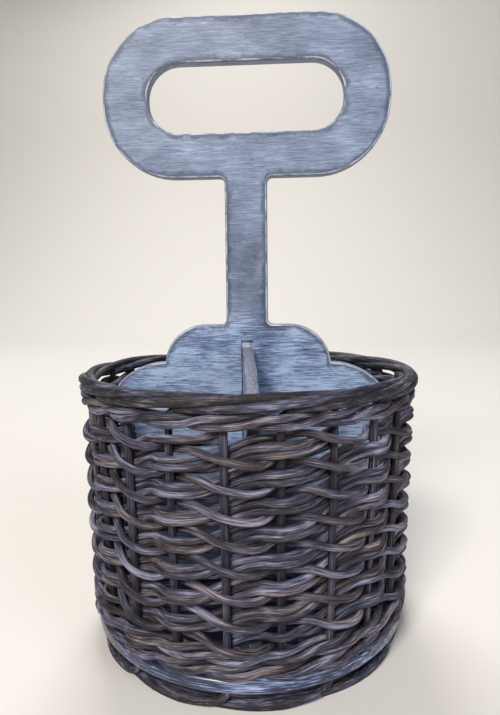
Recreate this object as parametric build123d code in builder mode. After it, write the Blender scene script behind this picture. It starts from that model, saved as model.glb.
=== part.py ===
from build123d import *
import math
import os

# A round wicker cutlery holder: stakes set in a wooden disc, woven with rods up to a roped rim,
# with a handle board and a cross board that part the inside into four.
# Sizes are in millimetres and angles in degrees. X runs along the handle board and Z is up.
# The origin is the middle of the foot, on the table.

# Wicker wall
rim_diameter = 160.0
rim_height = 125.5
stake_count = 22
first_stake_angle = -109.6
stake_diameter = 3.0
stake_lean = 2.4
weaver_diameter = 2.8
rod_gap = 0.25
stake_clearance = 0.22

# Rim rope and foot rope, each of four strands: the strand's distance from the rope's middle
rim_rope_radius = 2.2
rim_rope_offset = 1.7
foot_rope_radius = 2.5
foot_rope_offset = 3.1
foot_flat_depth = 0.4
foot_clearance = 0.3

# Base disc
disc_margin = 3.1
disc_thickness = 6.3
disc_edge_radius = 2.0
stake_hole_clearance = 0.2

# Handle board, which is also the long divider
board_clearance = 1.4
handle_thickness = 6.0
handle_height = 287.0
ring_width = 134.0
ring_height = 72.0
ring_corner_radius = 34.0
grip_width = 91.4
grip_height = 31.2
grip_corner_radius = 15.0
stem_width = 20.0
stem_fillet = 2.5
shoulder_height = 145.8
upper_scallop_radius = 20.4
lower_scallop_height = 127.3
lower_scallop_width = 24.0
lower_scallop_drop = 10.8
board_edge_radius = 1.0

# Cross board: two panels set into grooves in the handle board, standing a little askew
cross_thickness = 5.0
cross_height = 134.5
cross_drop = 12.0
cross_turn = 5.5
groove_height = 138.0
groove_width = 5.9
groove_depth = 1.5
groove_clearance = 0.1

# Screws that hold the boards from below
screw_diameter = 3.0
screw_head_diameter = 6.0
screw_head_angle = 90
screw_length = 25.0
screw_circle_radius = 40.0
screw_clearance = 0.1
screw_tip_length = 3.0
screw_recess_width = 0.8
screw_recess_length = 3.2
screw_recess_depth = 1.2

cut_overrun = 1.0

# Places round the wall are counted in stakes from the first, and heights from the foot
stake_step = 360 / stake_count
strand_step = weaver_diameter + rod_gap
weave_offset = (stake_diameter + weaver_diameter) / 2 + stake_clearance
rod_radius = stake_diameter / 2

rim_rope_circle = rim_diameter / 2 - rim_rope_radius - rod_radius
rim_rope_height = rim_height - rim_rope_radius - rod_radius
stake_top_circle = rim_rope_circle - rim_rope_offset
stake_foot_circle = stake_top_circle - stake_lean
foot_rope_circle = stake_foot_circle - foot_rope_offset
foot_rope_height = foot_rope_radius + rod_radius - foot_flat_depth

disc_bottom = foot_rope_height + foot_rope_radius + rod_radius + foot_clearance
disc_top = disc_bottom + disc_thickness
disc_radius = stake_foot_circle + disc_margin

# A strand turns this much about its rope from one stake to the next
rope_twist = 45
rim_tail_stakes = 7
foot_tail_stakes = 6
rope_entry_share = 0.35
stake_bend_share = 3.2
stake_bend_height = rim_rope_height - rim_rope_radius - stake_bend_share * rod_radius
stake_cut_share = 2.3
stake_cut_height = rim_rope_height - stake_cut_share * rod_radius

# Wales: three rods a round, each behind one stake and in front of two
wale_rods = 3
foot_wale_rounds = 2
wale_round_height = 2 * strand_step
foot_wale_height = disc_top + weaver_diameter / 2 + rod_gap
top_wale_share = 2.5
top_wale_height = rim_rope_height - rim_rope_radius - top_wale_share * strand_step
# Each row: share of the way to the next stake, side as a share of the offset, height in strands
wale_path_shares = (
    ((0.0, -1.0, 0.5), (0.5, 0.0, 0.0)),
    ((0.0, 1.0, 0.0), (0.3, 1.03, 0.12), (0.7, 1.03, 0.88)),
    ((0.0, 1.0, 1.0), (0.5, 0.0, 1.0)),
)
wale_butt_share = 0.03

# Weave: each rod climbs through eight roles, one a stake, then starts again
pitch_share = 3.47
row_pitch = pitch_share * strand_step
rows_per_turn = 6
strands_per_row = 4
weaver_count = rows_per_turn * strands_per_row
row_climb = row_pitch * rows_per_turn / stake_count
weave_start_share = 0.97
weave_start = disc_top + weave_start_share * row_pitch
behind_share = (pitch_share - 1) / 2
# Each role: side of the stake and height there in strands, then the way to the next stake as a
# share of the gap, the side there and its rise over a straight line in strands
weave_role_shares = (
    (-1.0, behind_share, 0.45, 0.0, 0.65),
    (1.0, -0.30, 0.60, 0.63, -0.52),
    (-1.0, -behind_share, 0.60, -1.10, -0.32),
    (-1.0, -1.50, 0.60, -0.10, 0.42),
    (1.0, -0.50, 0.50, 0.0, -0.45),
    (-1.0, -0.47, 0.60, -0.10, 0.46),
    (1.0, 0.50, 0.45, 0.0, -0.40),
    (-1.0, 0.56, 0.50, -1.05, 0.42),
)
weave_margin_share = 0.08
weave_low = foot_wale_height + foot_wale_rounds * wale_round_height + weave_margin_share * strand_step
weave_high = top_wale_height - (1 + weave_margin_share) * strand_step

board_reach = stake_foot_circle - weave_offset - strand_step - board_clearance
pilot_depth = screw_length - disc_thickness + screw_clearance
cross_lean = math.radians(cross_turn)
panel_corner = handle_thickness / 2 - groove_depth + groove_clearance
panel_start = (panel_corner + cross_thickness / 2 * math.sin(cross_lean)) / math.cos(cross_lean)
cross_screw_x = screw_circle_radius * math.sin(cross_lean)
cross_screw_y = screw_circle_radius * math.cos(cross_lean)
screw_places = (
    (screw_circle_radius, 0),
    (-screw_circle_radius, 0),
    (cross_screw_x, -cross_screw_y),
    (-cross_screw_x, cross_screw_y),
)


def stake_circle(height):
    """Radius of the circle that the stakes stand on at a height."""
    share = (height - disc_top) / (stake_bend_height - disc_top)
    return stake_foot_circle + stake_lean * share


def round_point(place, radius, height):
    angle = math.radians(first_stake_angle + place * stake_step)
    return Vector(radius * math.cos(angle), radius * math.sin(angle), height)


def wall_point(place, side_share, height):
    """A point beside the stakes: side_share is 1 in front of them and -1 behind."""
    return round_point(place, stake_circle(height) + side_share * weave_offset, height)


def add_arc(start, end, way):
    """One arc that leaves start along way, or a line where it is straight."""
    chord = (end - start).normalized()
    if chord.cross(way).length < 1e-6:
        Line(start, end)
    else:
        TangentArc(start, end, tangent=way)
    return chord * (2 * chord.dot(way)) - way


def add_biarc(start, start_way, end, end_way):
    """Two arcs that run into each other, from start to end along the two directions."""
    chord = end - start
    ways = start_way + end_way
    bend = 2 * (1 - start_way.dot(end_way))
    lean = 2 * chord.dot(ways)
    if bend < 1e-9:
        reach = chord.dot(chord) / lean
    else:
        reach = (math.sqrt(lean**2 + 4 * bend * chord.dot(chord)) - lean) / (2 * bend)
    middle = (start + start_way * reach + end - end_way * reach) * 0.5
    middle_way = add_arc(start, middle, start_way)
    add_arc(middle, end, middle_way)


def smooth_ways(points):
    """Direction at each point, as on a circle through it and its neighbours."""
    ways = [(points[1] - points[0]).normalized()]
    for before, here, after in zip(points, points[1:], points[2:]):
        run_in = here - before
        run_out = after - here
        way = run_in * (run_out.length / run_in.length) + run_out * (run_in.length / run_out.length)
        ways.append(way.normalized())
    ways.append((points[-1] - points[-2]).normalized())
    return ways


def rod(points, ways, diameter):
    """A round rod along a path of biarcs."""
    with BuildPart() as piece:
        with BuildLine() as path:
            for n in range(len(points) - 1):
                add_biarc(points[n], ways[n], points[n + 1], ways[n + 1])
        with BuildSketch(Plane(origin=points[0], z_dir=ways[0])):
            Circle(diameter / 2)
        sweep(path=path.wires()[0])
    return piece


def rope_tail(place, turn, circle, height, radius, first_angle, stakes):
    """Points and directions of a strand that winds about a rope, from its stake onwards."""
    points = []
    ways = []
    ages = [rope_entry_share] + list(range(1, stakes + 1))
    for age in ages:
        twist = math.radians(first_angle + rope_twist * age * turn)
        spot = place + turn * age
        points.append(round_point(spot, circle + radius * math.cos(twist), height + radius * math.sin(twist)))
        angle = math.radians(first_stake_angle + spot * stake_step)
        run = math.radians(stake_step) * (circle + radius * math.cos(twist)) * turn
        out = -radius * math.sin(twist) * math.radians(rope_twist) * turn
        rise = radius * math.cos(twist) * math.radians(rope_twist) * turn
        way = Vector(
            out * math.cos(angle) - run * math.sin(angle),
            out * math.sin(angle) + run * math.cos(angle),
            rise,
        )
        ways.append(way.normalized())
    return points, ways


def stake(index):
    """Even stakes run into the rim rope and odd ones into the foot rope."""
    lower = round_point(index, stake_foot_circle, disc_top)
    upper = round_point(index, stake_top_circle, stake_bend_height)
    up = (upper - lower).normalized()
    if index % 2 == 0:
        points, ways = rope_tail(
            index, 1, rim_rope_circle, rim_rope_height, rim_rope_radius, -90, rim_tail_stakes
        )
        points = [round_point(index, stake_foot_circle, disc_bottom), lower, upper] + points
        ways = [Vector(0, 0, 1), up, up] + ways
        return rod(points, ways, stake_diameter)
    points, ways = rope_tail(
        index, -1, foot_rope_circle, foot_rope_height, foot_rope_radius, 0, foot_tail_stakes
    )
    top = lower + up * ((stake_cut_height - disc_top) / up.Z)
    points = [top, lower, round_point(index, stake_foot_circle, disc_bottom)] + points
    ways = [-up, -up, Vector(0, 0, -1)] + ways
    with BuildPart() as piece:
        add(rod(points, ways, stake_diameter).part)
        split(bisect_by=Plane.XY, keep=Keep.TOP)
    return piece


def wale_rod(number, height):
    """One rod of a wale round: it starts and ends behind a stake, butted to the next rod."""
    start = -number
    end = stake_count - (stake_count + number) % wale_rods
    points = []
    for place in range(start, end):
        for ahead_share, side_share, level_share in wale_path_shares[(place - start) % wale_rods]:
            spot = place + (ahead_share if points else wale_butt_share)
            points.append(wall_point(spot, side_share, height + level_share * strand_step))
    side_share, level_share = wale_path_shares[0][0][1:]
    points.append(wall_point(end - wale_butt_share, side_share, height + level_share * strand_step))
    return rod(points, smooth_ways(points), weaver_diameter)


def weaver_height(phase, row, place):
    level_share = weave_role_shares[(phase + place) % len(weave_role_shares)][1]
    return weave_start + row * row_pitch + place * row_climb + level_share * strand_step


def weaver(number):
    """One rod of the weave, from above the foot wale to below the top wale, both ends inside."""
    phase = 2 * (number % strands_per_row)
    row = -(number // strands_per_row)
    keys = []
    for place in range(-stake_count, 4 * stake_count):
        role = weave_role_shares[(phase + place) % len(weave_role_shares)]
        side_share, level_share, ahead_share, way_side_share, way_rise_share = role
        here = weaver_height(phase, row, place)
        there = weaver_height(phase, row, place + 1)
        midway = here + (there - here) * ahead_share + way_rise_share * strand_step
        keys.append((place, side_share, here))
        keys.append((place + ahead_share, way_side_share, midway))
    first = 1 + max(n for n, key in enumerate(keys) if key[2] < weave_low)
    last = min(n for n, key in enumerate(keys) if key[2] > weave_high)
    while keys[first][1] > -1:
        first += 1
    while keys[last - 1][1] > -1:
        last -= 1
    points = [wall_point(*key) for key in keys[first:last]]
    return rod(points, smooth_ways(points), weaver_diameter)


def save(piece, name):
    piece.part.label = name
    export_step(piece.part, f"parts/{name}.step")


os.makedirs("parts", exist_ok=True)

# Base disc, drilled for the stakes and countersunk from below for the screws
underside = Plane(origin=(0, 0, disc_bottom), x_dir=(1, 0, 0), z_dir=(0, 0, -1))
with BuildPart() as base_disc:
    with BuildSketch(Plane.XY.offset(disc_bottom)):
        Circle(disc_radius)
    extrude(amount=disc_thickness)
    fillet(base_disc.edges().filter_by(GeomType.CIRCLE), radius=disc_edge_radius)
    with PolarLocations(stake_foot_circle, stake_count, start_angle=first_stake_angle):
        Hole(rod_radius + stake_hole_clearance / 2)
    with Locations(underside):
        # From below, Y is the other way round
        with Locations(*[(x, -y) for x, y in screw_places]):
            CounterSinkHole(
                screw_diameter / 2 + screw_clearance,
                screw_head_diameter / 2 + screw_clearance,
                counter_sink_angle=screw_head_angle,
            )
save(base_disc, "base_disc")

# Handle board: scalloped divider, stem and ring, grooved on both sides for the cross board
ring_middle = handle_height - ring_height / 2
ring_bottom = handle_height - ring_height
scallop_start = board_reach - lower_scallop_width
upper_scallop_end = scallop_start - upper_scallop_radius
with BuildPart() as handle_board:
    with BuildSketch(Plane.XZ) as outline:
        with BuildLine():
            Line((0, disc_top), (board_reach, disc_top))
            Line((board_reach, disc_top), (board_reach, lower_scallop_height - lower_scallop_drop))
            TangentArc(
                (scallop_start, lower_scallop_height),
                (board_reach, lower_scallop_height - lower_scallop_drop),
                tangent=(1, 0),
            )
            TangentArc(
                (upper_scallop_end, shoulder_height),
                (scallop_start, lower_scallop_height),
                tangent=(1, 0),
            )
            Line((upper_scallop_end, shoulder_height), (0, shoulder_height))
            mirror(about=Plane.YZ)
        make_face()
        with Locations((0, (shoulder_height + ring_middle) / 2)):
            Rectangle(stem_width, ring_middle - shoulder_height + 2 * cut_overrun)
        with Locations((0, ring_middle)):
            RectangleRounded(ring_width, ring_height, ring_corner_radius)
        stem_corners = outline.vertices().filter_by(
            lambda v: math.isclose(abs(v.X), stem_width / 2, abs_tol=board_edge_radius)
        )
        fillet(stem_corners, radius=stem_fillet)
        with Locations((0, ring_middle)):
            RectangleRounded(grip_width, grip_height, grip_corner_radius, mode=Mode.SUBTRACT)
    extrude(amount=handle_thickness / 2, both=True)
    rims = handle_board.faces().sort_by(Axis.Y)
    rounded = (rims[0].edges() + rims[-1].edges()).sort_by(Axis.Z)[2:]
    fillet(rounded, radius=board_edge_radius)
    for side in (-1, 1):
        with BuildSketch(Plane.XZ.offset(side * handle_thickness / 2)):
            with Locations((0, (groove_height + disc_top) / 2)):
                Rectangle(groove_width, groove_height - disc_top)
        extrude(amount=groove_depth, both=True, mode=Mode.SUBTRACT)
    with Locations(Plane.XY.offset(disc_top)):
        with Locations(*screw_places):
            Cylinder(screw_diameter / 2 + screw_clearance, 2 * pilot_depth, mode=Mode.SUBTRACT)
save(handle_board, "handle_board")

# Cross board: one arched board, parted in the middle and turned askew
with BuildPart() as panels:
    with BuildSketch(Plane.YZ):
        with BuildLine():
            ThreePointArc(
                (-board_reach, cross_height - cross_drop),
                (0, cross_height),
                (board_reach, cross_height - cross_drop),
            )
            Line((board_reach, cross_height - cross_drop), (board_reach, disc_top))
            Line((board_reach, disc_top), (-board_reach, disc_top))
            Line((-board_reach, disc_top), (-board_reach, cross_height - cross_drop))
        make_face()
    extrude(amount=cross_thickness / 2, both=True)
    sides = panels.faces().sort_by(Axis.X)
    rounded = (sides[0].edges() + sides[-1].edges()).sort_by(Axis.Z)[2:]
    fillet(rounded, radius=board_edge_radius)
    Box(2 * cross_thickness, 2 * panel_start, 2 * handle_height, mode=Mode.SUBTRACT)
with BuildPart() as cross_board:
    add(panels.part, rotation=(0, 0, cross_turn))
    with Locations(Plane.XY.offset(disc_top)):
        with Locations(*screw_places):
            Cylinder(screw_diameter / 2 + screw_clearance, 2 * pilot_depth, mode=Mode.SUBTRACT)
save(cross_board, "cross_board")

# Countersunk wood screws with a cross recess, heads flush with the underside of the disc
head_depth = (screw_head_diameter - screw_diameter) / 2 / math.tan(math.radians(screw_head_angle / 2))
with BuildPart() as screw:
    with BuildSketch(Plane.XZ):
        with BuildLine():
            Polyline(
                (0, disc_bottom),
                (screw_head_diameter / 2, disc_bottom),
                (screw_diameter / 2, disc_bottom + head_depth),
                (screw_diameter / 2, disc_bottom + screw_length - screw_tip_length),
                (0, disc_bottom + screw_length),
                close=True,
            )
        make_face()
    revolve(axis=Axis.Z)
    with BuildSketch(Plane.XY.offset(disc_bottom)):
        Rectangle(screw_recess_length, screw_recess_width)
        Rectangle(screw_recess_width, screw_recess_length)
    extrude(amount=screw_recess_depth, mode=Mode.SUBTRACT)
with BuildPart() as base_screws:
    with Locations(*screw_places):
        add(screw.part)
save(base_screws, "base_screws")

for index in range(stake_count):
    save(stake(index), f"stake_{index + 1:02d}")

for number in range(weaver_count):
    save(weaver(number), f"weaver_{number + 1:02d}")

for number in range(foot_wale_rounds * wale_rods):
    height = foot_wale_height + number // wale_rods * wale_round_height
    save(wale_rod(number % wale_rods, height), f"foot_wale_rod_{number + 1}")

for number in range(wale_rods):
    save(wale_rod(number, top_wale_height), f"top_wale_rod_{number + 1}")
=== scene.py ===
import math
import random

import bmesh
import bpy
from mathutils import Matrix, Vector
from mathutils.kdtree import KDTree


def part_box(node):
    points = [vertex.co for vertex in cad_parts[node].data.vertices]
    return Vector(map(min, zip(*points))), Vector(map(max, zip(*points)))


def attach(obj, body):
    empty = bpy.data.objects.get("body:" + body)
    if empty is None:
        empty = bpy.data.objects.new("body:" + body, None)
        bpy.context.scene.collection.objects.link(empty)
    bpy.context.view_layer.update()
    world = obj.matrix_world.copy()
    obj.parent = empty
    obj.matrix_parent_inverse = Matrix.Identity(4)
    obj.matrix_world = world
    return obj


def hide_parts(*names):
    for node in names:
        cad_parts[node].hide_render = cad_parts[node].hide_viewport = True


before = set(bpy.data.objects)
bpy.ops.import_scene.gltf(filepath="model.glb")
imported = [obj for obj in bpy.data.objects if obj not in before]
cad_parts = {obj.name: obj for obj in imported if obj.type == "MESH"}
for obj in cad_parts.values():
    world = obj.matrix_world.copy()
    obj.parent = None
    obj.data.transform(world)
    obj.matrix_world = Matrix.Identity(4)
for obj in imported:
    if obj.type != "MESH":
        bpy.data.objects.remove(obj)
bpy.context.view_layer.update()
mm = 0.001
scene = bpy.context.scene
print("frame loaded:", len(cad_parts), "nodes")


# colours are written as sRGB hex and used as linear values
def hexColour(text):
    parts = [int(text[n:n + 2], 16) / 255 for n in (1, 3, 5)]
    linear = [p / 12.92 if p <= 0.04045 else ((p + 0.055) / 1.055) ** 2.4 for p in parts]
    return (*linear, 1.0)


# one node with its settings; an input that is a socket is linked, anything else is its value
def addNode(tree, kind, settings=None, inputs=None, ramp=None):
    node = tree.nodes.new(kind)
    for name, value in (settings or {}).items():
        setattr(node, name, value)
    for name, value in (inputs or {}).items():
        if isinstance(value, bpy.types.NodeSocket):
            tree.links.new(value, node.inputs[name])
        else:
            node.inputs[name].default_value = value
    if ramp:
        stops = node.color_ramp.elements
        while len(stops) < len(ramp):
            stops.new(0.5)
        for stop, (place, colour) in zip(stops, ramp):
            stop.position = place
            stop.color = hexColour(colour)
    return node


def newMaterial(name):
    material = bpy.data.materials.new(name)
    material.use_nodes = True
    tree = material.node_tree
    return material, tree, tree.nodes["Principled BSDF"]


def finishPiece(piece, nodes, materials):
    piece.data.materials.clear()
    for material in materials:
        piece.data.materials.append(material)
    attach(piece, "root")
    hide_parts(*nodes)


# willow rods, peeled and dyed: lengthwise fibres under a satin skin, brown and slate, pale where rubbed
wicker = {
    # each pattern: width and length of a mark in millimetres, and the noise's detail
    # real fibres are finer, and these are as coarse as they need to be to show
    "patterns": {
        "fibre": (0.38, 8.0, 4.0), "ridge": (0.4, 14.0, 2.0), "patch": (4.0, 26.0, 2.0),
        "spot": (1.6, 10.0, 4.0), "hue": (5.0, 52.0, 1.0), "fine": (0.28, 7.0, 2.0),
    },
    "skinRadiusMm": 1.5, "noiseRoughness": 0.6, "patchWeight": 0.85, "midLevel": 0.425,
    # the stakes are set darker than the weavers: painted shade, as the stakes stand back between the rows
    "weaverDepth": 0.03, "stakePaintedShade": 0.13,
    "warm": ((0.34, "#1b171d"), (0.50, "#463d43"), (0.70, "#9c8d86")),
    "cool": ((0.34, "#181825"), (0.50, "#3e3e51"), (0.70, "#8e8da3")),
    # each share: the pattern that it reads, from and to there, and the share at each end
    "shares": {
        "coolness": ("hue", 0.36, 0.56, 0.0, 1.0), "scratched": ("fine", 0.60, 0.72, 0.0, 0.3),
        "rubbed": ("spot", 0.66, 0.76, 0.0, 0.4), "rough": ("fibre", 0.0, 1.0, 0.70, 0.50),
    },
    "scratch": "#b9afb4", "worn": "#c9bba4", "specular": 0.35, "bumpMm": 0.35, "bumpStrength": 0.9,
}


def makeWicker(name, depth):
    material, tree, shader = newMaterial(name)
    uv = addNode(tree, "ShaderNodeTexCoord").outputs["UV"]
    split = addNode(tree, "ShaderNodeSeparateXYZ", inputs={0: uv})
    turn = addNode(tree, "ShaderNodeMath", {"operation": "MULTIPLY"}, {
        0: split.outputs[0], 1: 2 * math.pi}).outputs[0]
    across = addNode(tree, "ShaderNodeMath", {"operation": "COSINE"}, {0: turn}).outputs[0]
    outward = addNode(tree, "ShaderNodeMath", {"operation": "SINE"}, {0: turn}).outputs[0]
    # the rod's skin without a seam: a circle, by the length in millimetres
    skin = addNode(tree, "ShaderNodeCombineXYZ", inputs={
        0: across, 1: outward, 2: split.outputs[1]}).outputs[0]
    noise = {}
    for pattern, (wideMm, longMm, detail) in wicker["patterns"].items():
        marks = wicker["skinRadiusMm"] / wideMm
        place = addNode(tree, "ShaderNodeMapping", inputs={
            "Vector": skin, "Scale": (marks, marks, 1 / longMm)}).outputs[0]
        noise[pattern] = addNode(tree, "ShaderNodeTexNoise", inputs={
            "Vector": place, "Scale": 1.0, "Detail": detail,
            "Roughness": wicker["noiseRoughness"]}).outputs["Fac"]
    share = {}
    for what, (pattern, low, high, start, end) in wicker["shares"].items():
        share[what] = addNode(tree, "ShaderNodeMapRange", inputs={
            "Value": noise[pattern], "From Min": low, "From Max": high,
            "To Min": start, "To Max": end}).outputs[0]
    shade = addNode(tree, "ShaderNodeMath", {"operation": "MULTIPLY_ADD"}, {
        0: noise["patch"], 1: wicker["patchWeight"], 2: noise["fibre"]}).outputs[0]
    # depth lowers the level so the colours go darker; for the stakes this is painted shade
    level = addNode(tree, "ShaderNodeMath", {"operation": "SUBTRACT"}, {
        0: shade, 1: wicker["midLevel"] + depth}).outputs[0]
    colour = addNode(tree, "ShaderNodeValToRGB", inputs={0: level}, ramp=wicker["warm"]).outputs[0]
    cool = addNode(tree, "ShaderNodeValToRGB", inputs={0: level}, ramp=wicker["cool"]).outputs[0]
    layers = (
        (share["coolness"], cool),
        (share["scratched"], hexColour(wicker["scratch"])),
        (share["rubbed"], hexColour(wicker["worn"])),
    )
    # a colour mix has its share at input 0, its colours at 6 and 7, and the result at output 2
    for amount, over in layers:
        colour = addNode(tree, "ShaderNodeMix", {"data_type": "RGBA"}, {
            0: amount, 6: colour, 7: over}).outputs[2]
    tree.links.new(colour, shader.inputs["Base Color"])
    tree.links.new(share["rough"], shader.inputs["Roughness"])
    shader.inputs["Specular IOR Level"].default_value = wicker["specular"]
    bump = addNode(tree, "ShaderNodeBump", inputs={
        "Height": noise["ridge"], "Distance": wicker["bumpMm"] * mm,
        "Strength": wicker["bumpStrength"]}).outputs[0]
    tree.links.new(bump, shader.inputs["Normal"])
    return material


# willow cut across: pale, dull pith with a fine grain
cutEnd = {
    "grainMm": 0.6, "grainDetail": 2.0, "colours": ((0.3, "#6f6152"), (0.7, "#a99a80")), "roughness": 0.8,
}


def makeCutEnd():
    material, tree, shader = newMaterial("cutWillowPith")
    place = addNode(tree, "ShaderNodeTexCoord").outputs["Object"]
    grain = addNode(tree, "ShaderNodeTexNoise", inputs={
        "Vector": place, "Scale": 1 / (cutEnd["grainMm"] * mm),
        "Detail": cutEnd["grainDetail"]}).outputs["Fac"]
    colour = addNode(tree, "ShaderNodeValToRGB", inputs={0: grain}, ramp=cutEnd["colours"]).outputs[0]
    tree.links.new(colour, shader.inputs["Base Color"])
    shader.inputs["Roughness"].default_value = cutEnd["roughness"]
    return material


# plywood, stained blue-grey and dry-brushed white along the grain: streaky, with rubbed edges that also
# carry a painted highlight
paint = {
    # each pattern: length and width of a mark in millimetres, and the noise's detail
    "patterns": {
        "streak": (6.5, 0.42, 3.0), "lap": (26.0, 20.0, 2.0),
        "fleck": (2.2, 0.55, 2.0), "wear": (9.0, 9.0, 3.0),
    },
    "noiseRoughness": 0.65, "depthStretch": 2.0,
    "lapWeight": 0.7, "midLevel": 0.85,
    # the last of these whitens the paint low on the board: painted light
    "contrast": 0.75, "fullContrast": 0.95, "white": 0.5, "lowerPaintedLight": 0.16,
    "brushed": ((0.22, "#3f4961"), (0.40, "#5e6a82"), (0.58, "#7c89a2"), (0.80, "#b3bdcf")),
    "smudge": "#3f4961", "band": "#323c55", "side": "#4f5160", "sideLight": "#8a93a6", "line": "#c9d3e0",
    "fullTint": "#e2f0ff",
    # the stem's dark smudge, the ragged band along the edges and the pale line on the arris, partly rubbed
    # paint and partly painted highlight where the arris catches the light
    "smudgeHeightMm": 174.0, "bandMm": 8.0, "bandStartMm": -1.8, "lineMm": 0.58, "lineReachMm": 0.28,
    # each share: what it reads, from and to there, and the share at each end
    "shares": {
        # the first share whitens the paint low on the board, painted light, and gives its brush marks more
        # contrast
        "lowerBrushAndLight": ("heightMm", 142.0, 158.0, 1.0, 0.0), "smudged": ("offSmudgeMm", 6.0, 26.0, 0.85, 0.0),
        "smeared": ("wear", 0.35, 0.65, 0.2, 1.0), "flecked": ("fleck", 0.60, 0.72, 0.0, 0.6),
        "banded": ("inBandMm", -0.75, 0.75, 0.0, 0.7), "sideLit": ("streak", 0.3, 0.7, 0.0, 1.0),
        "onSide": ("edgeMm", 0.15, 0.6, 1.0, 0.0), "onFace": ("edgeMm", 0.2, 0.8, 0.0, 1.0),
        "rubbed": ("wear", 0.40, 0.60, 0.05, 0.8), "rough": ("streak", 0.0, 1.0, 0.42, 0.62),
    },
    "bumpMm": 0.1, "bumpStrength": 0.6,
}


def makePaint(name, turn):
    material, tree, shader = newMaterial(name)
    place = addNode(tree, "ShaderNodeTexCoord").outputs["Object"]
    along = addNode(tree, "ShaderNodeMapping", inputs={
        "Vector": place, "Rotation": (0, 0, turn)}).outputs[0]
    source = {}
    for pattern, (longMm, wideMm, detail) in paint["patterns"].items():
        fine = 1 / (wideMm * mm)
        spot = addNode(tree, "ShaderNodeMapping", inputs={
            "Vector": along, "Scale": (1 / (longMm * mm), fine / paint["depthStretch"], fine)}).outputs[0]
        source[pattern] = addNode(tree, "ShaderNodeTexNoise", inputs={
            "Vector": spot, "Scale": 1.0, "Detail": detail,
            "Roughness": paint["noiseRoughness"]}).outputs["Fac"]
    height = addNode(tree, "ShaderNodeSeparateXYZ", inputs={0: place}).outputs[2]
    source["heightMm"] = addNode(tree, "ShaderNodeMath", {"operation": "DIVIDE"}, {
        0: height, 1: mm}).outputs[0]
    overSmudge = addNode(tree, "ShaderNodeMath", {"operation": "SUBTRACT"}, {
        0: source["heightMm"], 1: paint["smudgeHeightMm"]}).outputs[0]
    source["offSmudgeMm"] = addNode(tree, "ShaderNodeMath", {"operation": "ABSOLUTE"}, {
        0: overSmudge}).outputs[0]
    source["edgeMm"] = addNode(tree, "ShaderNodeAttribute", {"attribute_name": "edgeMm"}).outputs["Fac"]
    bandWidth = addNode(tree, "ShaderNodeMath", {"operation": "MULTIPLY_ADD"}, {
        0: source["wear"], 1: paint["bandMm"], 2: paint["bandStartMm"]}).outputs[0]
    source["inBandMm"] = addNode(tree, "ShaderNodeMath", {"operation": "SUBTRACT"}, {
        0: bandWidth, 1: source["edgeMm"]}).outputs[0]
    share = {}
    for what, (read, low, high, start, end) in paint["shares"].items():
        share[what] = addNode(tree, "ShaderNodeMapRange", inputs={
            "Value": source[read], "From Min": low, "From Max": high,
            "To Min": start, "To Max": end}).outputs[0]
    # low on the board the brush was fuller, with more contrast; the paint is also whiter there, painted
    # light that makes up for the light the basket keeps off the shoulders
    brushed = addNode(tree, "ShaderNodeMath", {"operation": "MULTIPLY_ADD"}, {
        0: source["lap"], 1: paint["lapWeight"], 2: source["streak"]}).outputs[0]
    centred = addNode(tree, "ShaderNodeMath", {"operation": "SUBTRACT"}, {
        0: brushed, 1: paint["midLevel"]}).outputs[0]
    contrast = addNode(tree, "ShaderNodeMath", {"operation": "MULTIPLY_ADD"}, {
        0: share["lowerBrushAndLight"], 1: paint["fullContrast"], 2: paint["contrast"]}).outputs[0]
    white = addNode(tree, "ShaderNodeMath", {"operation": "MULTIPLY_ADD"}, {
        0: share["lowerBrushAndLight"], 1: paint["lowerPaintedLight"], 2: paint["white"]}).outputs[0]
    level = addNode(tree, "ShaderNodeMath", {"operation": "MULTIPLY_ADD"}, {
        0: centred, 1: contrast, 2: white}).outputs[0]
    coat = addNode(tree, "ShaderNodeValToRGB", inputs={0: level}, ramp=paint["brushed"]).outputs[0]
    colour = addNode(tree, "ShaderNodeMix", {"data_type": "RGBA", "blend_type": "MULTIPLY"}, {
        0: share["lowerBrushAndLight"], 6: coat, 7: hexColour(paint["fullTint"])}).outputs[2]
    # from the paint outwards: smudge, flecks, dark band, bare side and the pale line on the arris, partly
    # rubbed paint and partly painted highlight
    smudge = addNode(tree, "ShaderNodeMath", {"operation": "MULTIPLY"}, {
        0: share["smudged"], 1: share["smeared"]}).outputs[0]
    sideTone = addNode(tree, "ShaderNodeMix", {"data_type": "RGBA"}, {
        0: share["sideLit"], 6: hexColour(paint["side"]), 7: hexColour(paint["sideLight"])}).outputs[2]
    # a pale line along the arris: painted highlight where the edge catches the light, broken up by the wear
    # noise
    arris = addNode(tree, "ShaderNodeMath", {"operation": "COMPARE"}, {
        0: source["edgeMm"], 1: paint["lineMm"], 2: paint["lineReachMm"]}).outputs[0]
    line = addNode(tree, "ShaderNodeMath", {"operation": "MULTIPLY"}, {
        0: arris, 1: share["rubbed"]}).outputs[0]
    layers = (
        (smudge, hexColour(paint["smudge"])),
        (share["flecked"], hexColour(paint["band"])),
        (share["banded"], hexColour(paint["band"])),
        (share["onSide"], sideTone),
        (line, hexColour(paint["line"])),
    )
    for amount, over in layers:
        colour = addNode(tree, "ShaderNodeMix", {"data_type": "RGBA"}, {
            0: amount, 6: colour, 7: over}).outputs[2]
    tree.links.new(colour, shader.inputs["Base Color"])
    tree.links.new(share["rough"], shader.inputs["Roughness"])
    relief = addNode(tree, "ShaderNodeMath", {"operation": "MULTIPLY"}, {
        0: level, 1: share["onFace"]}).outputs[0]
    bump = addNode(tree, "ShaderNodeBump", inputs={
        "Height": relief, "Distance": paint["bumpMm"] * mm, "Strength": paint["bumpStrength"]}).outputs[0]
    tree.links.new(bump, shader.inputs["Normal"])
    return material


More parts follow.
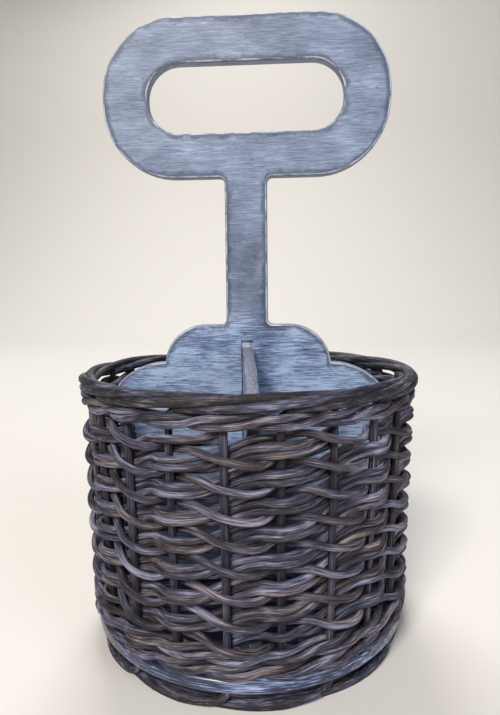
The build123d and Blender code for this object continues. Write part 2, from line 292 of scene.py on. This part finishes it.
# turned wooden disc, stained navy with white brushed off along the grain, under a thin varnish
disc = {
    "streakMm": (12.0, 3.0, 0.55), "streakDetail": 4.0, "noiseRoughness": 0.6,
    "patchMm": 22.0, "patchDetail": 3.0, "patchWeight": 0.5,
    "colours": ((0.64, "#161b2f"), (0.76, "#27304e"), (0.84, "#55668e"), (0.93, "#a0afcd")),
    "roughness": 0.34, "coat": 0.5, "coatRoughness": 0.2, "bumpMm": 0.1, "bumpStrength": 0.5,
}


def makeDisc():
    material, tree, shader = newMaterial("stainedDisc")
    place = addNode(tree, "ShaderNodeTexCoord").outputs["Object"]
    grain = addNode(tree, "ShaderNodeMapping", inputs={
        "Vector": place, "Scale": [1 / (size * mm) for size in disc["streakMm"]]}).outputs[0]
    streak = addNode(tree, "ShaderNodeTexNoise", inputs={
        "Vector": grain, "Scale": 1.0, "Detail": disc["streakDetail"],
        "Roughness": disc["noiseRoughness"]}).outputs["Fac"]
    patch = addNode(tree, "ShaderNodeTexNoise", inputs={
        "Vector": place, "Scale": 1 / (disc["patchMm"] * mm),
        "Detail": disc["patchDetail"]}).outputs["Fac"]
    level = addNode(tree, "ShaderNodeMath", {"operation": "MULTIPLY_ADD"}, {
        0: patch, 1: disc["patchWeight"], 2: streak}).outputs[0]
    colour = addNode(tree, "ShaderNodeValToRGB", inputs={0: level}, ramp=disc["colours"]).outputs[0]
    tree.links.new(colour, shader.inputs["Base Color"])
    shader.inputs["Roughness"].default_value = disc["roughness"]
    shader.inputs["Coat Weight"].default_value = disc["coat"]
    shader.inputs["Coat Roughness"].default_value = disc["coatRoughness"]
    bump = addNode(tree, "ShaderNodeBump", inputs={
        "Height": streak, "Distance": disc["bumpMm"] * mm, "Strength": disc["bumpStrength"]}).outputs[0]
    tree.links.new(bump, shader.inputs["Normal"])
    return material


# zinc-plated steel, tumbled: a fine grey mottle
zinc = {
    "mottleMm": 0.8, "mottleDetail": 3.0, "colours": ((0.3, "#8d8f92"), (0.7, "#bfc1c3")),
    "metallic": 1.0, "roughness": (0.25, 0.45),
}


def makeZinc():
    material, tree, shader = newMaterial("zincPlate")
    place = addNode(tree, "ShaderNodeTexCoord").outputs["Object"]
    mottle = addNode(tree, "ShaderNodeTexNoise", inputs={
        "Vector": place, "Scale": 1 / (zinc["mottleMm"] * mm),
        "Detail": zinc["mottleDetail"]}).outputs["Fac"]
    colour = addNode(tree, "ShaderNodeValToRGB", inputs={0: mottle}, ramp=zinc["colours"]).outputs[0]
    tree.links.new(colour, shader.inputs["Base Color"])
    shader.inputs["Metallic"].default_value = zinc["metallic"]
    smooth, dull = zinc["roughness"]
    rough = addNode(tree, "ShaderNodeMapRange", inputs={
        "Value": mottle, "To Min": smooth, "To Max": dull}).outputs[0]
    tree.links.new(rough, shader.inputs["Roughness"])
    return material


# the wall, in millimetres and degrees: places are counted in stakes round from the first
wall = {
    "stakes": 22, "firstAngle": -109.6, "stakeDiameter": 3.0, "weaverDiameter": 2.8, "rodGap": 0.25,
    "stakeFootCircle": 72.2, "stakeTopCircle": 74.6, "stakeClearance": 0.22,
    "bendHeight": 114.8, "cutHeight": 118.35,
}
# how a rod is drawn: fuller than the solid, fluted, uneven, and off its path by the wander
rod = {
    "fullness": 1.09, "flutes": 9, "fluteDepth": 0.04, "swell": 0.09,
    "weaverWander": 0.3, "stakeWander": 0.1, "steps": 5, "mergeMm": 0.001, "patternMm": 4000, "seed": 7,
}
# ropes: a strand turns about the rope's middle by twist from one stake to the next
rimRope = {
    "circle": 76.3, "height": 121.4, "radius": 2.2, "firstAngle": -90, "stakes": 7, "turn": 1,
    "twist": 45, "entry": 0.35, "fullness": 1.2,
}
footRope = {
    "circle": 70.4, "height": 3.4, "radius": 2.5, "firstAngle": 0, "stakes": 6, "turn": -1,
    "twist": 45, "entry": 0.35, "fullness": 1.3,
}
chance = random.Random(rod["seed"])
discBottom, discTop = [corner.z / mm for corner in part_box("base_disc")]
stakeStep = 360 / wall["stakes"]
strandStep = wall["weaverDiameter"] + wall["rodGap"]
weaveOffset = (wall["stakeDiameter"] + wall["weaverDiameter"]) / 2 + wall["stakeClearance"]


def roundPoint(place, radius, height):
    angle = math.radians(wall["firstAngle"] + place * stakeStep)
    return Vector((radius * math.cos(angle), radius * math.sin(angle), height))


# a point beside the stakes: side is 1 in front of them and -1 behind
def wallPoint(place, side, height):
    lean = (height - discTop) / (wall["bendHeight"] - discTop)
    circle = wall["stakeFootCircle"] + (wall["stakeTopCircle"] - wall["stakeFootCircle"]) * lean
    return roundPoint(place, circle + side * weaveOffset, height)


# direction at each point, as on a circle through it and its neighbours
def smoothWays(points):
    ways = [(points[1] - points[0]).normalized()]
    for before, here, after in zip(points, points[1:], points[2:]):
        runIn = here - before
        runOut = after - here
        way = runIn * (runOut.length / runIn.length) + runOut * (runIn.length / runOut.length)
        ways.append(way.normalized())
    ways.append((points[-1] - points[-2]).normalized())
    return ways


# cross-section of a rod: a circle with shallow flutes
def makeProfile():
    curve = bpy.data.curves.new("rodProfile", "CURVE")
    spline = curve.splines.new("POLY")
    count = 2 * rod["flutes"]
    spline.points.add(count - 1)
    for n, point in enumerate(spline.points):
        radius = 1 - rod["fluteDepth"] * (n % 2)
        angle = 2 * math.pi * n / count
        point.co = (radius * math.cos(angle), radius * math.sin(angle), 0, 1)
    spline.use_cyclic_u = True
    profile = bpy.data.objects.new("rodProfile", curve)
    scene.collection.objects.link(profile)
    return profile


def meshOf(name, curve):
    raw = bpy.data.objects.new(name, curve)
    scene.collection.objects.link(raw)
    mesh = bpy.data.meshes.new_from_object(raw.evaluated_get(bpy.context.evaluated_depsgraph_get()))
    bpy.data.objects.remove(raw)
    return mesh


# a rod along a smooth curve; its UV runs round the rod, and along it in millimetres
def makeRod(node, points, ways, diameter, fullness, wander, look):
    curve = bpy.data.curves.new(node, "CURVE")
    curve.dimensions = "3D"
    curve.resolution_u = rod["steps"]
    curve.bevel_mode = "OBJECT"
    curve.bevel_object = profile
    curve.use_fill_caps = True
    spline = curve.splines.new("BEZIER")
    spline.bezier_points.add(len(points) - 1)
    length = 0
    for n, bez in enumerate(spline.bezier_points):
        spot = points[n] + Vector([chance.uniform(-wander, wander) for axis in range(3)])
        before = (points[n] - points[max(n - 1, 0)]).length
        after = (points[min(n + 1, len(points) - 1)] - points[n]).length
        bez.co = spot * mm
        bez.handle_left = (spot - ways[n] * before / 3) * mm
        bez.handle_right = (spot + ways[n] * after / 3) * mm
        swell = chance.uniform(1 - rod["swell"], 1 + rod["swell"])
        bez.radius = diameter / 2 * mm * rod["fullness"] * fullness[n] * swell
        length += after
    mesh = meshOf(node + "Path", curve)
    bm = bmesh.new()
    bm.from_mesh(mesh)
    bmesh.ops.remove_doubles(bm, verts=bm.verts[:], dist=rod["mergeMm"] * mm)
    bmesh.ops.recalc_face_normals(bm, faces=bm.faces[:])
    skin = bm.loops.layers.uv.verify()
    start = chance.uniform(0, rod["patternMm"])
    # the foot rope is flat where it stands
    for vert in bm.verts:
        vert.co.z = max(vert.co.z, 0)
    # the side is smooth quads, and the two cut ends are the other faces
    for face in bm.faces:
        face.smooth = len(face.verts) == 4
        face.material_index = int(not face.smooth)
        for loop in face.loops:
            along, around = loop[skin].uv
            loop[skin].uv = (around, start + along * length)
    bm.to_mesh(mesh)
    bm.free()
    piece = bpy.data.objects.new("rod_" + node, mesh)
    scene.collection.objects.link(piece)
    finishPiece(piece, [node], [look, cutLook])


# a strand that winds about a rope, from its stake onwards
def ropeTail(place, rope):
    points = []
    ways = []
    for age in [rope["entry"]] + list(range(1, rope["stakes"] + 1)):
        twist = math.radians(rope["firstAngle"] + rope["twist"] * age * rope["turn"])
        spot = place + rope["turn"] * age
        reach = rope["circle"] + rope["radius"] * math.cos(twist)
        points.append(roundPoint(spot, reach, rope["height"] + rope["radius"] * math.sin(twist)))
        angle = math.radians(wall["firstAngle"] + spot * stakeStep)
        spin = math.radians(rope["twist"]) * rope["radius"] * rope["turn"]
        run = math.radians(stakeStep) * reach * rope["turn"]
        way = Vector((-spin * math.sin(twist), run, spin * math.cos(twist)))
        ways.append((Matrix.Rotation(angle, 3, "Z") @ way).normalized())
    return points, ways


# stakes stand in the disc; by turns they run on into the rim rope and into the foot rope
def makeStakes():
    for index in range(wall["stakes"]):
        lower = roundPoint(index, wall["stakeFootCircle"], discTop)
        upper = roundPoint(index, wall["stakeTopCircle"], wall["bendHeight"])
        seat = roundPoint(index, wall["stakeFootCircle"], discBottom)
        up = (upper - lower).normalized()
        if index % 2 == 0:
            rope = rimRope
            points = [seat, lower, upper]
            ways = [Vector((0, 0, 1)), up, up]
        else:
            rope = footRope
            points = [lower + up * ((wall["cutHeight"] - discTop) / up.z), lower, seat]
            ways = [-up, -up, Vector((0, 0, -1))]
        tailPoints, tailWays = ropeTail(index, rope)
        # the tail is fuller from the first stake that it passes
        fullness = [1] * (len(points) + 1) + [rope["fullness"]] * (len(tailPoints) - 1)
        makeRod(
            f"stake_{index + 1:02d}", points + tailPoints, ways + tailWays,
            wall["stakeDiameter"], fullness, rod["stakeWander"], stakeLook)


# a rod of the wale or the weave, smooth through its points
def makeWeaver(node, points):
    even = [1] * len(points)
    makeRod(node, points, smoothWays(points), wall["weaverDiameter"], even, rod["weaverWander"], weaverLook)


# wales: three rods a round, each behind one stake and in front of two
wale = {
    "rods": 3, "footRounds": 2, "roundStrands": 2, "footHeight": 15.85, "topHeight": 113.2, "butt": 0.03,
    # for each stake in turn: share of the way to the next stake, side, height in strands
    "path": (
        ((0.0, -1.0, 0.5), (0.5, 0.0, 0.0)),
        ((0.0, 1.0, 0.0), (0.3, 1.03, 0.12), (0.7, 1.03, 0.88)),
        ((0.0, 1.0, 1.0), (0.5, 0.0, 1.0)),
    ),
}


def makeWaleRod(node, number, height):
    start = -number
    end = wall["stakes"] - (wall["stakes"] + number) % wale["rods"]
    points = []
    for place in range(start, end):
        for ahead, side, level in wale["path"][(place - start) % wale["rods"]]:
            spot = place + (ahead if points else wale["butt"])
            points.append(wallPoint(spot, side, height + level * strandStep))
    side, level = wale["path"][0][0][1:]
    points.append(wallPoint(end - wale["butt"], side, height + level * strandStep))
    makeWeaver(node, points)


def makeWales():
    for number in range(wale["footRounds"] * wale["rods"]):
        height = wale["footHeight"] + number // wale["rods"] * wale["roundStrands"] * strandStep
        makeWaleRod(f"foot_wale_rod_{number + 1}", number % wale["rods"], height)
    for number in range(wale["rods"]):
        makeWaleRod(f"top_wale_rod_{number + 1}", number, wale["topHeight"])


# weave: each rod climbs through eight roles, one a stake, then starts again; heights are in strands
weave = {
    "pitch": 3.47, "rowsPerTurn": 6, "strandsPerRow": 4, "mostTurns": 4,
    "start": 0.97, "footMargin": 2.4, "topMargin": 0.6,
    # each role: side and height at the stake, then share of the way to the next, side and rise there
    "roles": (
        (-1.0, 1.235, 0.45, 0.0, 0.65),
        (1.0, -0.30, 0.60, 0.63, -0.52),
        (-1.0, -1.235, 0.60, -1.10, -0.32),
        (-1.0, -1.50, 0.60, -0.10, 0.42),
        (1.0, -0.50, 0.50, 0.0, -0.45),
        (-1.0, -0.47, 0.60, -0.10, 0.46),
        (1.0, 0.50, 0.45, 0.0, -0.40),
        (-1.0, 0.56, 0.50, -1.05, 0.42),
    ),
}


def makeWeave():
    pitch = weave["pitch"] * strandStep
    climb = pitch * weave["rowsPerTurn"] / wall["stakes"]
    low = wale["footHeight"] + weave["footMargin"] * strandStep
    high = wale["topHeight"] - weave["topMargin"] * strandStep
    roles = weave["roles"]
    for number in range(weave["rowsPerTurn"] * weave["strandsPerRow"]):
        phase = number % weave["strandsPerRow"] * len(roles) // weave["strandsPerRow"]
        base = discTop + (weave["start"] - number // weave["strandsPerRow"]) * pitch
        keys = []
        for place in range(-wall["stakes"], weave["mostTurns"] * wall["stakes"]):
            side, level, ahead, waySide, wayRise = roles[(phase + place) % len(roles)]
            nextLevel = roles[(phase + place + 1) % len(roles)][1]
            here = base + place * climb + level * strandStep
            there = base + (place + 1) * climb + nextLevel * strandStep
            keys.append((place, side, here))
            keys.append((place + ahead, waySide, here + (there - here) * ahead + wayRise * strandStep))
        # from above the foot wale to below the top wale, with both ends behind a stake
        first = 1 + max(n for n, key in enumerate(keys) if key[2] < low)
        last = min(n for n, key in enumerate(keys) if key[2] > high)
        while keys[first][1] > -1:
            first += 1
        while keys[last - 1][1] > -1:
            last -= 1
        makeWeaver(f"weaver_{number + 1:02d}", [wallPoint(*key) for key in keys[first:last]])


# an arc as points, for an outline
def arcPoints(centre, radius, startDegrees, endDegrees, steps):
    points = []
    for n in range(steps + 1):
        angle = math.radians(startDegrees + (endDegrees - startDegrees) * n / steps)
        points.append((centre[0] + radius * math.cos(angle), centre[1] + radius * math.sin(angle)))
    return points


# an arc that leaves start level and ends at end
def levelArc(start, end, steps):
    across = end[0] - start[0]
    drop = start[1] - end[1]
    radius = (across ** 2 + drop ** 2) / (2 * drop)
    sweep = math.degrees(math.asin(min(1, abs(across) / radius)))
    if drop > radius:
        sweep = 180 - sweep
    side = 1 if across > 0 else -1
    return arcPoints((start[0], start[1] - radius), radius, 90, 90 - side * sweep, steps)


def mirrored(points):
    return points + [(-x, z) for x, z in reversed(points)]


# the corners of a rounded box, counted from the upper right one
def roundCorners(width, height, radius, middle):
    corners = []
    for sideX, sideZ, start in ((1, 1, 0), (-1, 1, 90), (-1, -1, 180), (1, -1, 270)):
        centre = (sideX * (width / 2 - radius), middle + sideZ * (height / 2 - radius))
        corners.append(arcPoints(centre, radius, start, start + 90, boards["cornerSteps"]))
    return corners


# the boards, in millimetres and degrees
# their faces are cut into a grid that carries edgeMm, the way to the edge
boards = {
    "edge": 1.0, "edgeSteps": 2, "cornerSteps": 16, "filletSteps": 4, "grid": 2.5, "borderStep": 0.1,
    "bareEdge": 0.75, "sink": 0.1, "merge": 0.01, "sharpAngle": 40, "flatNormal": 0.999,
}
handle = {
    "reach": 64.63, "thickness": 6.0, "height": 287.0,
    "ringWidth": 134.0, "ringHeight": 72.0, "ringCorner": 34.0,
    "gripWidth": 91.4, "gripHeight": 31.2, "gripCorner": 15.0,
    "stemWidth": 20.0, "stemFillet": 2.5, "shoulder": 145.8,
    "upperScallop": 20.4, "upperSteps": 12,
    "lowerHeight": 127.3, "lowerWidth": 24.0, "lowerDrop": 10.8, "lowerSteps": 10,
    "grooveWidth": 5.9, "grooveTop": 138.0, "grooveDepth": 1.5,
}
cross = {"thickness": 5.0, "height": 134.5, "drop": 12.0, "turn": 5.5, "start": 1.85, "topSteps": 24}


# points close together along the outlines, to measure the way to the edge
def makeBorder(outlines):
    spots = []
    for outline in outlines:
        corners = [Vector((x, z, 0)) for x, z in outline]
        for here, there in zip(corners, corners[1:] + corners[:1]):
            steps = 1 + int((there - here).length / boards["borderStep"])
            spots += [here.lerp(there, n / steps) for n in range(steps)]
    border = KDTree(len(spots))
    for spot in spots:
        border.insert(spot, 0)
    border.balance()
    return border


# a cut right through, square to the board's face, at a way along one of its axes
def cutThrough(bm, axis, way):
    square = Vector((1 - axis, axis, 0))
    geom = bm.faces[:] + bm.edges[:] + bm.verts[:]
    bmesh.ops.bisect_plane(bm, geom=geom, plane_co=square * way, plane_no=square)


# a board from flat outlines, with rounded arrises; joinery cuts it, and standing sets it up in its place
def makeBoardPiece(node, outlines, thickness, joinery, standing, look):
    curve = bpy.data.curves.new(node, "CURVE")
    curve.dimensions = "2D"
    curve.fill_mode = "BOTH"
    curve.extrude = (thickness / 2 - boards["edge"]) * mm
    curve.bevel_depth = boards["edge"] * mm
    curve.bevel_resolution = boards["edgeSteps"]
    curve.offset = -boards["edge"] * mm
    for outline in outlines:
        spline = curve.splines.new("POLY")
        spline.points.add(len(outline) - 1)
        for point, (x, z) in zip(spline.points, outline):
            point.co = (x * mm, z * mm, 0, 1)
        spline.use_cyclic_u = True
    mesh = meshOf(node + "Outline", curve)
    bm = bmesh.new()
    bm.from_mesh(mesh)
    bmesh.ops.remove_doubles(bm, verts=bm.verts[:], dist=boards["merge"] * mm)
    bmesh.ops.recalc_face_normals(bm, faces=bm.faces[:])
    for axis in range(2):
        low = min(vert.co[axis] for vert in bm.verts)
        high = max(vert.co[axis] for vert in bm.verts)
        count = int((high - low) / (boards["grid"] * mm))
        for n in range(1, count):
            cutThrough(bm, axis, low + (high - low) * n / count)
    joinery(bm)
    border = makeBorder(outlines)
    edge = bm.verts.layers.float.new("edgeMm")
    for vert in bm.verts:
        sunk = abs(vert.co.z) < (thickness / 2 - boards["sink"]) * mm
        toEdge = border.find((vert.co.x / mm, vert.co.y / mm, 0))[2]
        vert[edge] = boards["bareEdge"] if sunk and toEdge > boards["edge"] else toEdge
    for face in bm.faces:
        face.smooth = abs(face.normal.z) < boards["flatNormal"]
    bmesh.ops.transform(bm, matrix=standing, verts=bm.verts[:])
    bm.to_mesh(mesh)
    bm.free()
    mesh.set_sharp_from_angle(angle=math.radians(boards["sharpAngle"]))
    piece = bpy.data.objects.new("board_" + node, mesh)
    scene.collection.objects.link(piece)
    finishPiece(piece, [node], [look])


# the groove for the cross board, cut round and pressed in on both faces
def cutGrooves(bm):
    half = handle["grooveWidth"] / 2
    for axis, way in ((0, -half), (0, half), (1, handle["grooveTop"])):
        cutThrough(bm, axis, way * mm)
    for side in (-1, 1):
        floor = []
        for face in bm.faces:
            middle = face.calc_center_median() / mm
            inside = abs(middle.x) < half and middle.y < handle["grooveTop"]
            if inside and face.normal.z * side > boards["flatNormal"]:
                floor.append(face)
        made = bmesh.ops.extrude_face_region(bm, geom=floor)
        sunk = [item for item in made["geom"] if isinstance(item, bmesh.types.BMVert)]
        bmesh.ops.delete(bm, geom=floor, context="FACES")
        bmesh.ops.translate(bm, verts=sunk, vec=(0, 0, -side * handle["grooveDepth"] * mm))


# the cross board's two panels, closed where they stop in the grooves
def partPanels(bm):
    start = cross["start"] * mm
    for side in (-1, 1):
        cutThrough(bm, 0, side * start)
    middle = [face for face in bm.faces if abs(face.calc_center_median().x) < start]
    bmesh.ops.delete(bm, geom=middle, context="FACES")
    bmesh.ops.holes_fill(bm, edges=[edge for edge in bm.edges if edge.is_boundary], sides=0)


def makeHandle(standing):
    middle = handle["height"] - handle["ringHeight"] / 2
    ringFoot = handle["height"] - handle["ringHeight"]
    scallop = handle["reach"] - handle["lowerWidth"]
    upperStart = (scallop - handle["upperScallop"], handle["shoulder"])
    lowerStart = (scallop, handle["lowerHeight"])
    lowerEnd = (handle["reach"], handle["lowerHeight"] - handle["lowerDrop"])
    fillet = handle["stemFillet"]
    filletX = handle["stemWidth"] / 2 + fillet
    ring = roundCorners(handle["ringWidth"], handle["ringHeight"], handle["ringCorner"], middle)
    grip = roundCorners(handle["gripWidth"], handle["gripHeight"], handle["gripCorner"], middle)
    # the right half, from the foot up
    right = [(handle["reach"], discTop)]
    right += levelArc(lowerStart, lowerEnd, handle["lowerSteps"])[::-1]
    right += levelArc(upperStart, lowerStart, handle["upperSteps"])[::-1]
    right += arcPoints((filletX, handle["shoulder"] + fillet), fillet, 270, 180, boards["filletSteps"])
    right += arcPoints((filletX, ringFoot - fillet), fillet, 180, 90, boards["filletSteps"])
    # the ring's lower right corner, then its upper right one
    right += ring[3] + ring[0]
    outlines = [mirrored(right), sum(grip, [])]
    makeBoardPiece("handle_board", outlines, handle["thickness"], cutGrooves, standing, handleLook)


def makeCross(standing):
    reach = handle["reach"]
    radius = (reach ** 2 + cross["drop"] ** 2) / (2 * cross["drop"])
    sweep = math.degrees(math.asin(reach / radius))
    top = arcPoints((0, cross["height"] - radius), radius, 90 - sweep, 90 + sweep, cross["topSteps"])
    outline = [(-reach, discTop), (reach, discTop)] + top
    turned = Matrix.Rotation(math.pi / 2 + math.radians(cross["turn"]), 4, "Z") @ standing
    makeBoardPiece("cross_board", [outline], cross["thickness"], partPanels, turned, crossLook)


weaverLook = makeWicker("dyedWillow", wicker["weaverDepth"])
# the stakes' willow is a darker copy of the weavers': painted shade where they stand back between the rows
stakeLook = makeWicker("shadedStakeWillow", wicker["stakePaintedShade"])
cutLook = makeCutEnd()
handleLook = makePaint("brushedHandleBoard", 0)
crossLook = makePaint("brushedCrossBoard", math.pi / 2)
print("materials made")

profile = makeProfile()
makeStakes()
makeWales()
makeWeave()
bpy.data.objects.remove(profile)
print("rods made")

upright = Matrix.Rotation(math.pi / 2, 4, "X")
makeHandle(upright)
makeCross(upright)
print("boards made")

# the disc and the screws keep their solids
for node, look in (("base_disc", makeDisc()), ("base_screws", makeZinc())):
    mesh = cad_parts[node].data
    mesh.materials.clear()
    mesh.materials.append(look)
print("disc and screws finished")

# floor and lights, in metres; each lamp has its place, size, power and colour
studio = {
    "floor": "#d8d4ce", "floorSize": 3.0, "cove": 1.0, "coveSteps": 16,
    "mottleMm": 167.0, "mottleDetail": 2.0, "floorRoughness": (0.75, 0.9),
    "world": "#e9edf2", "worldStrength": 0.19,
    "lamps": (
        ((-0.8, -2.2, 2.0), 0.9, 95.0, "#fffaf4"),
        ((1.9, -1.4, 1.2), 1.2, 22.0, "#eef3ff"),
        ((-0.4, 1.6, 2.4), 1.2, 50.0, "#ffffff"),
    ),
    "aim": (0, 0, 0.12),
    # the camera, with its roll in radians
    "eyeMm": (18.0, -263.9, 160.1), "targetMm": (1.089, 0, 129.232), "roll": -0.01,
    "focalPixels": 540, "longSide": 715, "sensor": 36, "clipStart": 0.01,
}


# a floor that turns up into a backdrop behind the object
def makeFloor():
    material, tree, shader = newMaterial("paleFloor")
    place = addNode(tree, "ShaderNodeTexCoord").outputs["Object"]
    mottle = addNode(tree, "ShaderNodeTexNoise", inputs={
        "Vector": place, "Scale": 1 / (studio["mottleMm"] * mm),
        "Detail": studio["mottleDetail"]}).outputs["Fac"]
    smooth, dull = studio["floorRoughness"]
    rough = addNode(tree, "ShaderNodeMapRange", inputs={
        "Value": mottle, "To Min": smooth, "To Max": dull}).outputs[0]
    tree.links.new(rough, shader.inputs["Roughness"])
    shader.inputs["Base Color"].default_value = hexColour(studio["floor"])
    half = studio["floorSize"] / 2
    bm = bmesh.new()
    bmesh.ops.create_grid(bm, x_segments=1, y_segments=1, size=half)
    back = [edge for edge in bm.edges if min(vert.co.y for vert in edge.verts) > half - mm]
    turned = bmesh.ops.spin(
        bm, geom=back, cent=(0, half, studio["cove"]), axis=(1, 0, 0),
        angle=math.pi / 2, steps=studio["coveSteps"])
    top = [item for item in turned["geom_last"] if isinstance(item, bmesh.types.BMEdge)]
    risen = bmesh.ops.extrude_edge_only(bm, edges=top)["geom"]
    wallTop = [item for item in risen if isinstance(item, bmesh.types.BMVert)]
    bmesh.ops.translate(bm, verts=wallTop, vec=(0, 0, half))
    for face in bm.faces:
        face.smooth = True
    mesh = bpy.data.meshes.new("floor")
    bm.to_mesh(mesh)
    bm.free()
    mesh.materials.append(material)
    floor = bpy.data.objects.new("floor", mesh)
    scene.collection.objects.link(floor)


def makeLights():
    world = bpy.data.worlds.new("studio")
    world.use_nodes = True
    background = world.node_tree.nodes["Background"]
    background.inputs["Color"].default_value = hexColour(studio["world"])
    background.inputs["Strength"].default_value = studio["worldStrength"]
    scene.world = world
    for n, (place, size, power, tint) in enumerate(studio["lamps"]):
        light = bpy.data.lights.new(f"softbox{n + 1}", "AREA")
        light.size = size
        light.energy = power
        light.color = hexColour(tint)[:3]
        lamp = bpy.data.objects.new(light.name, light)
        lamp.location = place
        lamp.visible_camera = False
        lamp.rotation_euler = (Vector(studio["aim"]) - Vector(place)).to_track_quat("-Z", "Y").to_euler()
        scene.collection.objects.link(lamp)


def makeCamera():
    data = bpy.data.cameras.new("camera")
    data.sensor_width = studio["sensor"]
    data.lens = studio["focalPixels"] / studio["longSide"] * studio["sensor"]
    data.clip_start = studio["clipStart"]
    eye = Vector(studio["eyeMm"]) * mm
    forward = (Vector(studio["targetMm"]) * mm - eye).normalized()
    level = forward.cross(Vector((0, 0, 1))).normalized()
    right = level * math.cos(studio["roll"]) + level.cross(forward) * math.sin(studio["roll"])
    up = right.cross(forward)
    camera = bpy.data.objects.new("camera", data)
    camera.matrix_world = Matrix.Translation(eye) @ Matrix((right, up, -forward)).transposed().to_4x4()
    scene.collection.objects.link(camera)
    scene.camera = camera


makeFloor()
makeLights()
makeCamera()
scene.view_settings.view_transform = "Standard"
print("stage set")
